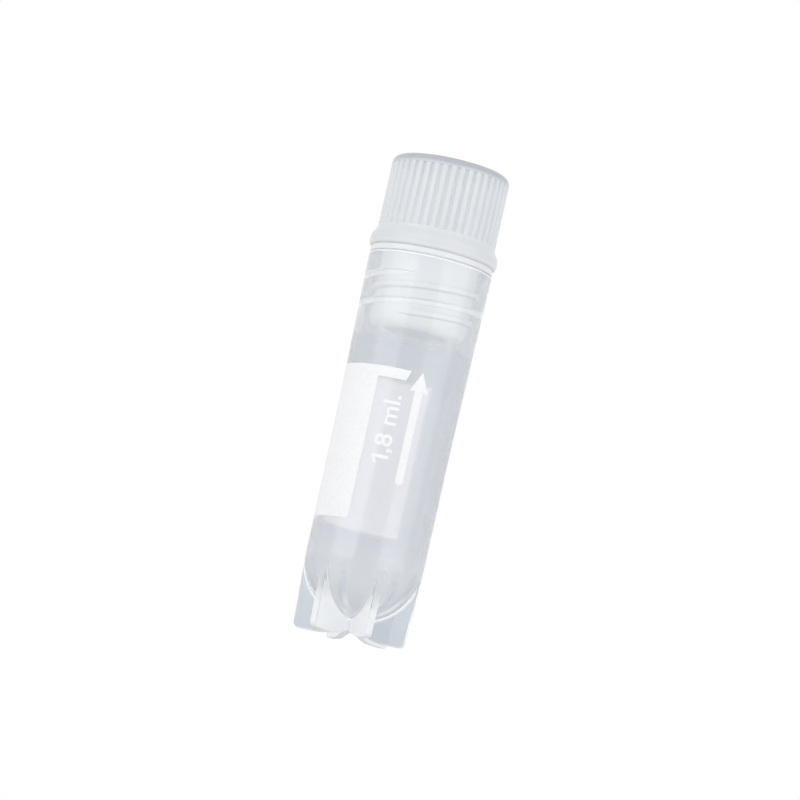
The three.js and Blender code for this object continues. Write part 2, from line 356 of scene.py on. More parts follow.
def make_star_foot():
    """The ball is turned, its columns drawn in to fins of one thickness, and the fins pulled down."""
    core_angle = math.degrees(math.asin(FIN_CORE_RADIUS / DOME_RADIUS))
    seam_angle = math.degrees(math.acos(SEAM_RADIUS / DOME_RADIUS))
    ball = [(0, DOME_LOWEST_Z)]
    ball += arc(0, DOME_CENTRE_Z, DOME_RADIUS, core_angle - 90, -seam_angle, FOOT_RINGS)
    ring_radii = [radius for radius, z in ball[1:]]
    foot = turned("star_foot", ball, TUBE_STEPS, FIN_ANGLE - FIN_HALF_ANGLE)

    # Vertices, but for the pole, by ring and by half columns on either side of a fin's middle.
    columns = {}
    for vertex in foot.data.vertices:
        radius = vertex.co.xy.length / MM
        if radius > FIN_CORE_RADIUS / 2:
            ring = min(range(len(ring_radii)), key=lambda i: abs(ring_radii[i] - radius))
            half_columns = round(from_fin(vertex.co) / COLUMN * 2)
            columns.setdefault((ring, half_columns), []).append(vertex.index)
    edit(foot)
    for (ring, half_columns), numbers in columns.items():
        angle = half_columns * COLUMN / 2
        edge = math.asin(FIN_HALF_WIDTH / ring_radii[ring])
        if abs(half_columns) <= FIN_COLUMNS:
            drawn_in = edge * angle / FIN_HALF_ANGLE
        else:
            beyond = (abs(angle) - FIN_HALF_ANGLE) / (FIN_SECTOR / 2 - FIN_HALF_ANGLE)
            drawn_in = math.copysign(edge + (FIN_SECTOR / 2 - edge) * beyond, angle)
        if not math.isclose(drawn_in, angle, abs_tol=1e-6):
            choose(foot, "verts", lambda vertex: vertex.index in numbers)
            turn_selected(drawn_in - angle)

    bpy.ops.mesh.select_mode(type="FACE")
    choose(foot, "faces", lambda face: middle(face).xy.length < FIN_CORE_RADIUS
           or abs(from_fin(middle(face))) * middle(face).xy.length < FIN_HALF_WIDTH)
    bpy.ops.mesh.extrude_region_move(TRANSFORM_OT_translate={"value": (0, 0, -MM)})
    taper = FOOT_RADIUS / SEAM_RADIUS
    bpy.ops.transform.resize(value=(taper, taper, 0), center_override=(0, 0, 0))
    bpy.ops.mesh.select_mode(type="VERT")
    for radius in [0] + [radius * taper for radius in ring_radii]:
        if foot_underside(radius) > 0:
            choose(foot, "verts", lambda vertex: abs(middle(vertex).z) < SAME_PLACE
                   and abs(middle(vertex).xy.length - radius) < SAME_PLACE)
            bpy.ops.transform.translate(value=(0, 0, foot_underside(radius) * MM))
    bpy.ops.object.mode_set(mode="OBJECT")
    return foot


def soften_fins(tube):
    """Takes the sharpness off the fins' outer and lower edges, as the mould leaves them."""
    edit(tube, "EDGE")
    choose(tube, "edges", lambda edge: on_a_fin(middle(edge))
           and middle(edge).xy.length > FIN_CORE_RADIUS * 1.2
           and edge.calc_face_angle() > FIN_SHARP_EDGE)
    bpy.ops.mesh.bevel(offset=FIN_EDGE_SOFTNESS * MM, segments=2, clamp_overlap=True)
    bpy.ops.object.mode_set(mode="OBJECT")


def barrel_profile():
    """The wall from the seam up, over the rim and down the bore to the middle of the chamber's floor."""
    outside = [(SEAM_RADIUS, SEAM_Z)]
    outside += even_line(outside[-1], (WAIST_RADIUS, WAIST_Z), WALL_RING_HEIGHT)
    rounding_z = RIM_Z - RIM_ROUNDING
    outside += even_line(outside[-1], (wall_radius(rounding_z), rounding_z), WALL_RING_HEIGHT)
    rim = arc(MOUTH_RADIUS - RIM_ROUNDING, rounding_z, RIM_ROUNDING, 0, 90, 6)[1:]
    rim.append((THREAD_ZONE_RADIUS + MOUTH_CHAMFER, RIM_Z))
    rim.append((THREAD_ZONE_RADIUS + MOUTH_CHAMFER / 3, RIM_Z - MOUTH_CHAMFER / 3))
    rim.append((THREAD_ZONE_RADIUS, RIM_Z - MOUTH_CHAMFER))
    inside = even_line(rim[-1], (THREAD_ZONE_RADIUS, THREAD_ZONE_Z), MOUTH_RING_HEIGHT)
    # The bore narrows below the thread in a soft double curve.
    for i in range(1, TAPER_RINGS + 1):
        narrowed = falling_curve(1 - i / TAPER_RINGS)
        inside.append((THREAD_ZONE_RADIUS + (CHAMBER_TOP_RADIUS - THREAD_ZONE_RADIUS) * narrowed,
                       THREAD_ZONE_Z + (CHAMBER_TOP_Z - THREAD_ZONE_Z) * i / TAPER_RINGS))
    floor_centre_z = DOME_LOWEST_Z + FLOOR_THICKNESS + CHAMBER_RADIUS
    inside += even_line(inside[-1], (CHAMBER_RADIUS, floor_centre_z), WALL_RING_HEIGHT)
    inside += arc(0, floor_centre_z, CHAMBER_RADIUS, 0, -90, 20)[1:]
    return outside + rim + inside


def make_tube():
    tube = make_star_foot()
    barrel = turned("barrel", barrel_profile(), TUBE_STEPS, FIN_ANGLE - FIN_HALF_ANGLE)
    only(tube)
    barrel.select_set(True)
    bpy.ops.object.join()
    tube.name = tube.data.name = "vial_tube"
    edit(tube)
    merged_facing_out()
    bpy.ops.object.mode_set(mode="OBJECT")
    soften_fins(tube)
    joined_by_union(tube, thread_ridge(
        "mouth_ridge", THREAD_ZONE_RADIUS, TUBE_RIDGE_RADIUS,
        PLUG_RIDGE_START_Z + TUBE_RIDGE_ABOVE_PLUG_RIDGE - THREAD_PITCH / 2,
        PLUG_RIDGE_START_ANGLE - math.pi))
    return tube


# ---- Cap and ring ----------------------------------------------------------------------------------

def cap_profile():
    """From the middle of the hollow's top, down and out round the plug, and up over the head."""
    hollow = [(0, HOLLOW_TOP_Z)]
    hollow += arc(HOLLOW_RADIUS - HOLLOW_TOP_ROUNDING, HOLLOW_TOP_Z - HOLLOW_TOP_ROUNDING,
                  HOLLOW_TOP_ROUNDING, 90, 0, 8)
    hollow += even_line(hollow[-1], (HOLLOW_RADIUS, PLUG_END_Z + HOLLOW_MOUTH_ROUNDING), CAP_RING_HEIGHT)
    plug = arc(HOLLOW_RADIUS + HOLLOW_MOUTH_ROUNDING, PLUG_END_Z + HOLLOW_MOUTH_ROUNDING,
               HOLLOW_MOUTH_ROUNDING, 180, 270, 4)[1:]
    plug += arc(PLUG_RADIUS - PLUG_END_ROUNDING, PLUG_END_Z + PLUG_END_ROUNDING,
                PLUG_END_ROUNDING, -90, 0, 8)
    plug += even_line(plug[-1], (PLUG_RADIUS, FLANGE_BOTTOM_Z - PLUG_FILLET), PLUG_RING_HEIGHT)
    plug += arc(PLUG_RADIUS + PLUG_FILLET, FLANGE_BOTTOM_Z - PLUG_FILLET, PLUG_FILLET, 180, 90, 3)[1:]
    lip = arc(FLANGE_RADIUS - FLANGE_LOWER_ROUNDING, FLANGE_BOTTOM_Z + FLANGE_LOWER_ROUNDING,
              FLANGE_LOWER_ROUNDING, -90, 0, 6)
    flare = [(HEAD_RADIUS + (FLANGE_RADIUS - HEAD_RADIUS) * falling_curve(i / 10),
              FLANGE_LIP_TOP_Z + (FLARE_TOP_Z - FLANGE_LIP_TOP_Z) * i / 10) for i in range(11)]
    head = [(HEAD_RADIUS, GROOVE_BOTTOM_Z), (HEAD_RADIUS, GROOVE_TOP_Z)]
    head += arc(HEAD_RADIUS - HEAD_EDGE_ROUNDING, TOP_Z - HEAD_EDGE_ROUNDING, HEAD_EDGE_ROUNDING, 0, 90, 10)
    head += even_line(head[-1], (0, TOP_Z), CAP_RING_HEIGHT)
    return hollow + plug + lip + flare + head


def make_cap():
    """Turned in as many columns as ribs and grooves; every second column on the head is let in."""
    cap = turned("screw_cap", cap_profile(), 2 * GROOVE_COUNT)
    rib_and_groove = 2 * math.pi / GROOVE_COUNT

    def in_a_groove(face):
        place = middle(face)
        round_head = math.atan2(place.y, place.x) % rib_and_groove
        return (place.xy.length > HEAD_RADIUS - ON_SURFACE and GROOVE_BOTTOM_Z < place.z < GROOVE_TOP_Z
                and round_head < rib_and_groove / 2)

    edit(cap, "FACE")
    choose(cap, "faces", in_a_groove)
    bpy.ops.mesh.inset(thickness=GROOVE_SLOPE * MM)
    let_in = 1 - GROOVE_DEPTH / HEAD_RADIUS
    bpy.ops.transform.resize(value=(let_in, let_in, 1), center_override=(0, 0, 0))
    bpy.ops.object.mode_set(mode="OBJECT")
    applied(cap, "BEVEL", width=RIB_SOFTNESS * MM, segments=2, limit_method="ANGLE",
            angle_limit=RIB_SHARP_EDGE)
    joined_by_union(cap, thread_ridge(
        "plug_ridge", PLUG_RADIUS, PLUG_RIDGE_RADIUS, PLUG_RIDGE_START_Z, PLUG_RIDGE_START_ANGLE))
    return cap


def make_sealing_ring():
    """A moulded silicone ring, pinched between the rim and the flange."""
    inner, outer = RING_INNER_RADIUS + RING_ROUNDING, ring_high.x - RING_ROUNDING
    low, high = RIM_Z + RING_GAP + RING_ROUNDING, FLANGE_BOTTOM_Z - RING_GAP - RING_ROUNDING
    outline = []
    for radius, z, start in ((inner, low, 180), (outer, low, 270), (outer, high, 0), (inner, high, 90)):
        outline += arc(radius, z, RING_ROUNDING, start, start + 90, 4)
    return turned("sealing_ring", outline, TUBE_STEPS, closed=True)


# ---- Ink -------------------------------------------------------------------------------------------

def along_wall(degrees):
    return math.radians(degrees) * INK_RADIUS


def flat_print(name, outline):
    """A flat, upright print with that outline, drawn with X along the wall and Z up."""
    places = [Vector((x, 0, z)) * MM for x, z in outline]
    return drawn_chain(name, places, closed=True)


def turn_over(piece):
    """Turns all faces of a flat print the other way."""
    edit(piece, selected="SELECT")
    bpy.ops.mesh.flip_normals()
    bpy.ops.object.mode_set(mode="OBJECT")


def cut_in_cells(piece):
    """Cuts a flat print into cells, so that it can follow the round and slightly conical wall."""
    places = [vertex.co.copy() for vertex in piece.data.vertices]
    edit(piece)
    for direction, step in ((Vector((1, 0, 0)), INK_CELL_WIDTH), (Vector((0, 0, 1)), INK_CELL_HEIGHT)):
        reach = [place.dot(direction) for place in places]
        for i in range(1, math.ceil((max(reach) - min(reach)) / step / MM)):
            bpy.ops.mesh.select_all(action="SELECT")
            bpy.ops.mesh.bisect(plane_co=direction * (min(reach) + i * step * MM), plane_no=direction)
    bpy.ops.object.mode_set(mode="OBJECT")


def printed(piece, tube):
    """Bends a flat print round the axis, lays it on the tube's skin and gives the ink its thickness."""
    if piece.data.polygons[0].normal.y > 0:
        turn_over(piece)
    cut_in_cells(piece)
    reach = [vertex.co.x for vertex in piece.data.vertices]
    applied(piece, "SIMPLE_DEFORM", deform_method="BEND", deform_axis="Z",
            angle=(max(reach) - min(reach)) / (INK_RADIUS * MM))
    edit(piece, selected="SELECT")
    bpy.ops.transform.translate(value=(0, -INK_RADIUS * MM, 0))
    applied(piece, "SHRINKWRAP", target=tube, wrap_method="NEAREST_SURFACEPOINT",
            wrap_mode="ABOVE_SURFACE", offset=-INK_SINK * MM)
    applied(piece, "SOLIDIFY", thickness=INK_THICKNESS * MM, offset=1)
    edit(piece, selected="SELECT")
    bpy.ops.mesh.normals_make_consistent(inside=False)
    bpy.ops.object.mode_set(mode="OBJECT")
    return piece


def make_writing_panel(tube):
    """The panel goes half round the wall, and the fill line runs on from its upper edge."""
    left, right, line_end = along_wall(PANEL_FROM), along_wall(PANEL_TO), along_wall(LINE_TO)
    outline = [(left, PANEL_TOP_Z), (left, PANEL_BOTTOM_Z)]
    outline += arc(right - PANEL_CORNER, PANEL_BOTTOM_Z + PANEL_CORNER, PANEL_CORNER, -90, 0, 5)
    outline += [(right, LINE_BOTTOM_Z), (line_end - LINE_END_SLANT, LINE_BOTTOM_Z), (line_end, PANEL_TOP_Z)]
    return printed(flat_print("writing_panel", outline), tube)


def make_fill_arrow(tube):
    """An upright arrow with a round tail, whose barbs slant back a little."""
    centre = along_wall(ARROW_AT)
    half_shaft, half_head = ARROW_SHAFT_WIDTH / 2, ARROW_HEAD_WIDTH / 2
    neck = ARROW_TIP_Z - ARROW_HEAD_HEIGHT
    outline = [(centre - half_shaft, neck)]
    outline += arc(centre, ARROW_TAIL_Z + half_shaft, half_shaft, 180, 360, 8)
    outline += [(centre + half_shaft, neck), (centre + half_head, neck - ARROW_BARB)]
    outline += [(centre, ARROW_TIP_Z), (centre - half_head, neck - ARROW_BARB)]
    return printed(flat_print("fill_arrow", outline), tube)


def make_capacity_figures(tube):
    """The capacity reads upwards: its letters' feet are towards the arrow."""
    nothing_selected()
    bpy.ops.object.text_add()
    text = bpy.context.object
    text.data.body = FIGURES
    text.data.offset = STROKE_SPREAD
    bpy.ops.object.convert(target="MESH")
    figures = bpy.context.object
    figures.name = figures.data.name = "capacity_figures"
    start = min(vertex.co.x for vertex in figures.data.vertices)
    length = max(vertex.co.x for vertex in figures.data.vertices) - start
    scale = (FIGURES_TO_Z - FIGURES_FROM_Z) * MM / length
    feet = along_wall(FIGURES_AT)
    edit(figures, selected="SELECT")
    bpy.ops.mesh.remove_doubles(threshold=STROKE_SPREAD / 4)
    bpy.ops.mesh.select_all(action="SELECT")
    bpy.ops.transform.translate(value=(-start, 0, 0))
    bpy.ops.transform.resize(value=(scale, scale * FIGURES_LOWERED, scale), center_override=(0, 0, 0))
    # Lying text is stood up, then turned to read upwards; signs are for an operator without a window.
    bpy.ops.transform.rotate(value=-math.pi / 2, orient_axis="X", center_override=(0, 0, 0))
    bpy.ops.transform.rotate(value=math.pi / 2, orient_axis="Y", center_override=(0, 0, 0))
    bpy.ops.transform.translate(value=Vector((feet, 0, FIGURES_FROM_Z)) * MM)
    # The bare bar of the 1 is moved up by half the flag's drop, which leaves room for the flag.
    bar_width = BAR_WIDTH * scale / MM
    choose(figures, "verts", lambda vertex: middle(vertex).z < FIGURES_FROM_Z + bar_width * 1.2)
    bpy.ops.transform.translate(value=(0, 0, FLAG_DROP * MM / 2))
    bpy.ops.object.mode_set(mode="OBJECT")
    bar_top, bar_z = feet - BAR_HEIGHT * scale * FIGURES_LOWERED / MM, FIGURES_FROM_Z + FLAG_DROP / 2
    flag = flat_print("flag_of_the_one", [
        (bar_top, bar_z), (bar_top + FLAG_WIDTH, bar_z),
        (bar_top + FLAG_TIP_TO, bar_z - FLAG_DROP + FLAG_TIP_SLANT),
        (bar_top + FLAG_TIP_FROM, bar_z - FLAG_DROP)])
    if flag.data.polygons[0].normal.y * figures.data.polygons[0].normal.y < 0:
        turn_over(flag)
    only(figures)
    flag.select_set(True)
    bpy.ops.object.join()
    return printed(figures, tube)


# ---- Material helpers ------------------------------------------------------------------------------

# Real sizes of what gives a surface its pattern, in millimetres.
STREAK_WIDTH, STREAK_STRETCH = 3.0, 5.0
GRIT, GRIT_DEPTH = 0.12, 0.004
TOOL_RING_SPACING, TOOL_RING_DEPTH = 0.4, 0.01
INK_MOTTLING, INK_RELIEF = 0.35, 0.01

# Heights between which a finish changes, in millimetres.
FOOT_WHITE_Z, WALL_CLEAR_Z = 5.0, 9.5
FAR_WALL_LIGHT_Z, FAR_WALL_DIM_Z = 8.0, 11.0
FIN_WHITE_Z, FIN_CLEAR_Z = 3.0, 5.6
SEAM_WHITE_Z, SEAM_DIM_Z = 5.4, 6.8
FIN_EDGE_WHITE_Z, FIN_EDGE_DIM_Z = 2.4, 4.6

PLASTIC_IOR, HAZE_ROUGHNESS = 1.49, 0.35
CAP_TINT, LIGHT_THROUGH_CAP = "#f4f7fa", "#e4e6ea"
# Painted shade for skins seen from within the plastic: it stands in for the dimmer far side of the room.
FAR_SIDE_PAINTED_SHADE = "#9fa7b3"


def linear(hex_colour):
    """An sRGB hex colour as linear red, green, blue and alpha."""
    channels = [int(hex_colour[i:i + 2], 16) / 255 for i in (1, 3, 5)]
    return [c / 12.92 if c <= 0.04045 else ((c + 0.055) / 1.055) ** 2.4 for c in channels] + [1.0]


def add_node(tree, kind, inputs=None, **settings):
    """Adds a node with its settings; each input takes a value, a socket, or a node's first live output.

    Inputs go by name, or by number where a node has several of one name: a Mix node's colours are 6
    and 7, and a Mix Shader's shaders 1 and 2.
    """
    made = tree.nodes.new(kind)
    for name, value in settings.items():
        setattr(made, name, value)
    for socket, value in (inputs or {}).items():
        if isinstance(value, bpy.types.Node):
            value = next(output for output in value.outputs if output.enabled)
        if isinstance(value, bpy.types.NodeSocket):
            tree.links.new(value, made.inputs[socket])
        else:
            made.inputs[socket].default_value = value
    return made


def new_material(name):
    material = bpy.data.materials.new(name)
    material.use_nodes = True
    material.node_tree.nodes.clear()
    return material, material.node_tree


def place_and_height(tree):
    """The piece's own coordinates, and the height among them."""
    place = add_node(tree, "ShaderNodeTexCoord").outputs["Object"]
    return place, add_node(tree, "ShaderNodeSeparateXYZ", {"Vector": place}).outputs["Z"]


def open_to_light(tree, surface, tint):
    """Ends a material: lamps and soft light pass it with that tint, so that what is behind it is lit."""
    passed = add_node(tree, "ShaderNodeBsdfTransparent", {"Color": linear(tint)})
    path = add_node(tree, "ShaderNodeLightPath")
    for_lamps = add_node(tree, "ShaderNodeMixShader", {
        0: path.outputs["Is Shadow Ray"], 1: surface, 2: passed})
    for_soft_light = add_node(tree, "ShaderNodeMixShader", {
        0: path.outputs["Is Diffuse Ray"], 1: for_lamps, 2: passed})
    add_node(tree, "ShaderNodeOutputMaterial", {"Surface": for_soft_light})


def hazy_plastic(tree, share, haze, tint, roughness, painted_far_shade=None, grain=None, light_tint="#fafbfc"):
    """Ends a material as clear plastic with a haze of fine crystals, which scatters a share of light.

    A skin that is seen from within the plastic takes a painted shade for the dimmer far side of the room
    beyond it. The haze carries the grain of the mould, and the clear part has its roughness instead.
    """
    if painted_far_shade is not None:
        side = add_node(tree, "ShaderNodeNewGeometry")
        tint = add_node(tree, "ShaderNodeMix", {0: side.outputs["Backfacing"], 6: tint, 7: painted_far_shade},
                        data_type="RGBA")
    clear = add_node(tree, "ShaderNodeBsdfPrincipled", {
        "Base Color": tint, "Roughness": roughness, "IOR": PLASTIC_IOR, "Transmission Weight": 1.0})
    milk = add_node(tree, "ShaderNodeBsdfPrincipled", {
        "Base Color": haze, "Roughness": HAZE_ROUGHNESS, "IOR": PLASTIC_IOR})
    if grain is not None:
        tree.links.new(grain.outputs["Normal"], milk.inputs["Normal"])
    open_to_light(tree, add_node(tree, "ShaderNodeMixShader", {0: share, 1: clear, 2: milk}), light_tint)


# On the cap these streaks also lay pools of painted light in the grooves.
def flow_streaks_and_light_pools(tree, place, low, high):
    """Soft streaks where the melt ran up the mould: about 3 mm wide and five times as long."""
    stretched = add_node(tree, "ShaderNodeMapping", {
        "Vector": place, "Scale": (1.0, 1.0, 1 / STREAK_STRETCH)})
    noise = add_node(tree, "ShaderNodeTexNoise", {
        "Vector": stretched, "Scale": 1 / (STREAK_WIDTH * MM), "Detail": 2.0, "Roughness": 0.5})
    return add_node(tree, "ShaderNodeMapRange", {
        "Value": noise, "From Min": 0.35, "From Max": 0.65, "To Min": low, "To Max": high})


def blasted(tree, place, strength):
    """The grain of a mould blasted with fine grit, 0.12 mm and about 4 micrometres deep."""
    grain = add_node(tree, "ShaderNodeTexNoise", {"Vector": place, "Scale": 1 / (GRIT * MM), "Detail": 2.0})
    return add_node(tree, "ShaderNodeBump", {
        "Height": grain, "Strength": strength, "Distance": GRIT_DEPTH * MM})


# ---- Materials -------------------------------------------------------------------------------------

def wall_polypropylene():
    """Moulded natural polypropylene, outer skin: blasted mould, so satin; whiter at the mouth and foot."""
    material, tree = new_material("moulded natural polypropylene, outer skin")
    place, height = place_and_height(tree)
    at_mouth = add_node(tree, "ShaderNodeMapRange", {
        "Value": height, "From Min": (THREAD_ZONE_Z - 1) * MM, "From Max": (THREAD_ZONE_Z + 1) * MM,
        "To Max": 0.12})
    at_foot = add_node(tree, "ShaderNodeMapRange", {
        "Value": height, "From Min": FOOT_WHITE_Z * MM, "From Max": WALL_CLEAR_Z * MM,
        "To Min": 0.07, "To Max": 0.0})
    at_ends = add_node(tree, "ShaderNodeMath", {0: at_mouth, 1: at_foot}, operation="ADD")
    share = add_node(tree, "ShaderNodeMath", {0: at_ends, 1: flow_streaks_and_light_pools(tree, place, 0.06, 0.11)},
                     operation="ADD")
    # Seen from within, the far wall takes a painted shade, a little lighter near the foot as painted light
    # from the floor close by.
    painted_floor_light = add_node(tree, "ShaderNodeMapRange", {
        "Value": height, "From Min": FAR_WALL_LIGHT_Z * MM, "From Max": FAR_WALL_DIM_Z * MM,
        "To Min": 1.0, "To Max": 0.0})
    far_wall_painted_shade = add_node(tree, "ShaderNodeMix", {
        0: painted_floor_light, 6: linear(FAR_SIDE_PAINTED_SHADE), 7: linear("#abb2bc")}, data_type="RGBA")
    hazy_plastic(tree, share, haze=linear("#f4f5f6"), tint=linear("#f0f2f4"), painted_far_shade=far_wall_painted_shade,
                 roughness=0.14, grain=blasted(tree, place, 0.25))
    return material


def bore_polypropylene():
    """The same plastic, inner skin: a polished core pin leaves it clear; it is whiter by the thread."""
    material, tree = new_material("moulded natural polypropylene, polished bore")
    height = place_and_height(tree)[1]
    share = add_node(tree, "ShaderNodeMapRange", {
        "Value": height, "From Min": (THREAD_ZONE_Z - 0.6) * MM, "From Max": (THREAD_ZONE_Z - 0.1) * MM,
        "To Min": 0.02, "To Max": 0.17})
    hazy_plastic(tree, share, haze=linear("#f4f5f6"), tint=linear("#fdfdfd"), roughness=0.1)
    return material


def ridge_polypropylene():
    """The thread's ridges and the rim: thick, so white, and whiter still as painted light; lightly blasted.
    """
    material, tree = new_material("moulded natural polypropylene, thread ridges")
    place = add_node(tree, "ShaderNodeTexCoord").outputs["Object"]
    # The white haze is partly painted light: bright bands along the thread, and light on the rim that lifts
    # the shade of the gap under the sealing ring.
    hazy_plastic(tree, flow_streaks_and_light_pools(tree, place, 0.55, 0.65), haze=linear("#fcfcfd"),
                 tint=linear("#f4f6f9"), painted_far_shade=linear("#eceff4"), roughness=0.12,
                 grain=blasted(tree, place, 0.15))
    return material


def fin_side_polypropylene():
    """A fin's flat side: half clear seen square on; white seen along it and where it leaves the ball,
    partly painted light.
    """
    material, tree = new_material("moulded natural polypropylene, fin side")
    place, height = place_and_height(tree)
    # Seen along the plate it is whiter: partly the longer path through the haze, partly painted light
    # carried along the plate.
    turned_away = add_node(tree, "ShaderNodeLayerWeight").outputs["Facing"]
    along = add_node(tree, "ShaderNodeMapRange", {
        "Value": turned_away, "From Min": 0.06, "From Max": 0.26})
    # Painted light: whiter low down on the fin.
    low = add_node(tree, "ShaderNodeMapRange", {
        "Value": height, "From Min": FIN_WHITE_Z * MM, "From Max": FIN_CLEAR_Z * MM,
        "To Min": 1.0, "To Max": 0.35})
    along_below = add_node(tree, "ShaderNodeMath", {0: along, 1: low}, operation="MULTIPLY")
    # A painted highlight where the fin leaves the ball.
    from_ball = add_node(tree, "ShaderNodeVectorMath", {0: place, 1: DOME_CENTRE * MM},
                         operation="DISTANCE")
    root = add_node(tree, "ShaderNodeMapRange", {
        "Value": from_ball, "From Min": (DOME_RADIUS + 0.1) * MM, "From Max": (DOME_RADIUS + 0.3) * MM,
        "To Min": 1.0, "To Max": 0.0})
    white = add_node(tree, "ShaderNodeMath", {0: along_below, 1: root}, operation="MAXIMUM")
    below_seam = add_node(tree, "ShaderNodeMapRange", {
        "Value": height, "From Min": SEAM_WHITE_Z * MM, "From Max": SEAM_DIM_Z * MM,
        "To Min": 1.0, "To Max": 0.0})
    white_below = add_node(tree, "ShaderNodeMath", {0: white, 1: below_seam}, operation="MULTIPLY")
    haze = add_node(tree, "ShaderNodeMix", {
        0: white_below, 6: linear("#d3d8df"), 7: linear("#fbfcfd")}, data_type="RGBA")
    white_share = add_node(tree, "ShaderNodeMath", {0: white, 1: 0.85}, operation="MULTIPLY")
    share = add_node(tree, "ShaderNodeMath", {0: flow_streaks_and_light_pools(tree, place, 0.14, 0.22), 1: white_share},
                     operation="MAXIMUM")
    hazy_plastic(tree, share, haze=haze, tint=linear("#ebeef2"), painted_far_shade=linear("#b3bbc6"),
                 roughness=0.12, grain=blasted(tree, place, 0.25))
    return material


def fin_edge_polypropylene():
    """A fin's outer edge: painted light near the foot's flat end, and painted shade higher up, where it
    joins the wall.
    """
    material, tree = new_material("moulded natural polypropylene, fin edge")
    place, height = place_and_height(tree)
    painted_shade_higher_up = add_node(tree, "ShaderNodeMapRange", {
        "Value": height, "From Min": FIN_EDGE_WHITE_Z * MM, "From Max": FIN_EDGE_DIM_Z * MM})
    # Painted light low on the edge, fading to painted shade higher up.
    haze = add_node(tree, "ShaderNodeMix", {
        0: painted_shade_higher_up, 6: linear("#fafbfc"), 7: linear("#d1d7de")}, data_type="RGBA")
    hazy_plastic(tree, 0.7, haze=haze, tint=linear("#e7eaef"), painted_far_shade=linear("#c4cbd5"),
                 roughness=0.12, grain=blasted(tree, place, 0.25))
    return material


def cap_polypropylene():
    """The cap's thicker polypropylene: milky, with painted light where light gathers in the ribs and
    painted shade in the grooves.
    """
    material, tree = new_material("moulded natural polypropylene, milky cap")
    place, height = place_and_height(tree)
    flat = add_node(tree, "ShaderNodeVectorMath", {0: place, 1: (1, 1, 0)}, operation="MULTIPLY")
    radius = add_node(tree, "ShaderNodeVectorMath", {0: flat}, operation="LENGTH")
    crest = add_node(tree, "ShaderNodeMapRange", {
        "Value": radius, "From Min": (HEAD_RADIUS - GROOVE_DEPTH) * MM,
        "From Max": (HEAD_RADIUS - ON_SURFACE) * MM})
    above_ribs = add_node(tree, "ShaderNodeMapRange", {
        "Value": height, "From Min": GROOVE_TOP_Z * MM, "From Max": (GROOVE_TOP_Z + 0.3) * MM,
        "To Max": 0.7})
    not_in_groove = add_node(tree, "ShaderNodeMath", {0: crest, 1: above_ribs}, operation="MAXIMUM")
    # Painted light on the ribs and, in patches, in the grooves too; the rest of each groove keeps a painted
    # shade.
    lit = add_node(tree, "ShaderNodeMath", {0: not_in_groove, 1: flow_streaks_and_light_pools(tree, place, 0.0, 1.0)},
                   operation="MAXIMUM")
    ribs_with_painted_shade = add_node(tree, "ShaderNodeMix", {
        0: lit, 6: linear("#d4dadf"), 7: linear("#e1e5e7")}, data_type="RGBA")
    # The rounded edge round the top gets a painted shade, the dimmest part of the cap.
    high = add_node(tree, "ShaderNodeMapRange", {
        "Value": height, "From Min": (GROOVE_TOP_Z - 0.1) * MM, "From Max": (TOP_Z - 0.55) * MM})
    outside = add_node(tree, "ShaderNodeMapRange", {
        "Value": radius, "From Min": (HEAD_RADIUS - 1.6) * MM, "From Max": (HEAD_RADIUS - 0.7) * MM})
    painted_shade_on_top_edge = add_node(tree, "ShaderNodeMath", {0: high, 1: outside}, operation="MULTIPLY")
    head = add_node(tree, "ShaderNodeMix", {
        0: painted_shade_on_top_edge, 6: ribs_with_painted_shade, 7: linear("#b2b8c2")}, data_type="RGBA")
    # Below the head comes the flange, whose lip is a little dimmer than the plug; the lip's lowest part
    # gets painted light, which lifts the shade of the gap above the ring.
    up_the_lip = add_node(tree, "ShaderNodeMapRange", {
        "Value": height, "From Min": (FLANGE_BOTTOM_Z - 0.1) * MM,
        "From Max": (FLANGE_BOTTOM_Z + 0.55) * MM})
    below = add_node(tree, "ShaderNodeMix", {
        0: up_the_lip, 6: linear("#f2f3f4"), 7: linear("#dde0e3")}, data_type="RGBA")
    up_the_cap = add_node(tree, "ShaderNodeMapRange", {
        "Value": height, "From Min": (FLANGE_BOTTOM_Z + 0.3) * MM,
        "From Max": (GROOVE_BOTTOM_Z + 0.5) * MM})
    haze = add_node(tree, "ShaderNodeMix", {0: up_the_cap, 6: below, 7: head}, data_type="RGBA")
    hazy_plastic(tree, 0.85, haze=haze, tint=linear(CAP_TINT), roughness=0.22,
                 grain=blasted(tree, place, 0.4), light_tint=LIGHT_THROUGH_CAP)
    return material


def hollow_polypropylene():
    """The cap's plastic inside the plug: dimmer, a painted shade for the hollow, with the fine rings of a
    turned core pin.
    """
    material, tree = new_material("moulded natural polypropylene, inside the plug")
    place = add_node(tree, "ShaderNodeTexCoord").outputs["Object"]
    # A wave's bands are pi / (10 x scale) apart: here as far as a turning tool's marks.
    rings = add_node(tree, "ShaderNodeTexWave", {
        "Vector": place, "Scale": math.pi / (10 * TOOL_RING_SPACING * MM), "Distortion": 0.4},
        bands_direction="Z")
    bump = add_node(tree, "ShaderNodeBump", {
        "Height": rings.outputs["Fac"], "Strength": 0.4, "Distance": TOOL_RING_DEPTH * MM})
    # The greyer haze is painted shade inside the hollow.
    hazy_plastic(tree, flow_streaks_and_light_pools(tree, place, 0.8, 0.9), haze=linear("#d0d4d9"),
                 tint=linear(CAP_TINT), roughness=0.25, grain=bump, light_tint=LIGHT_THROUGH_CAP)
    return material


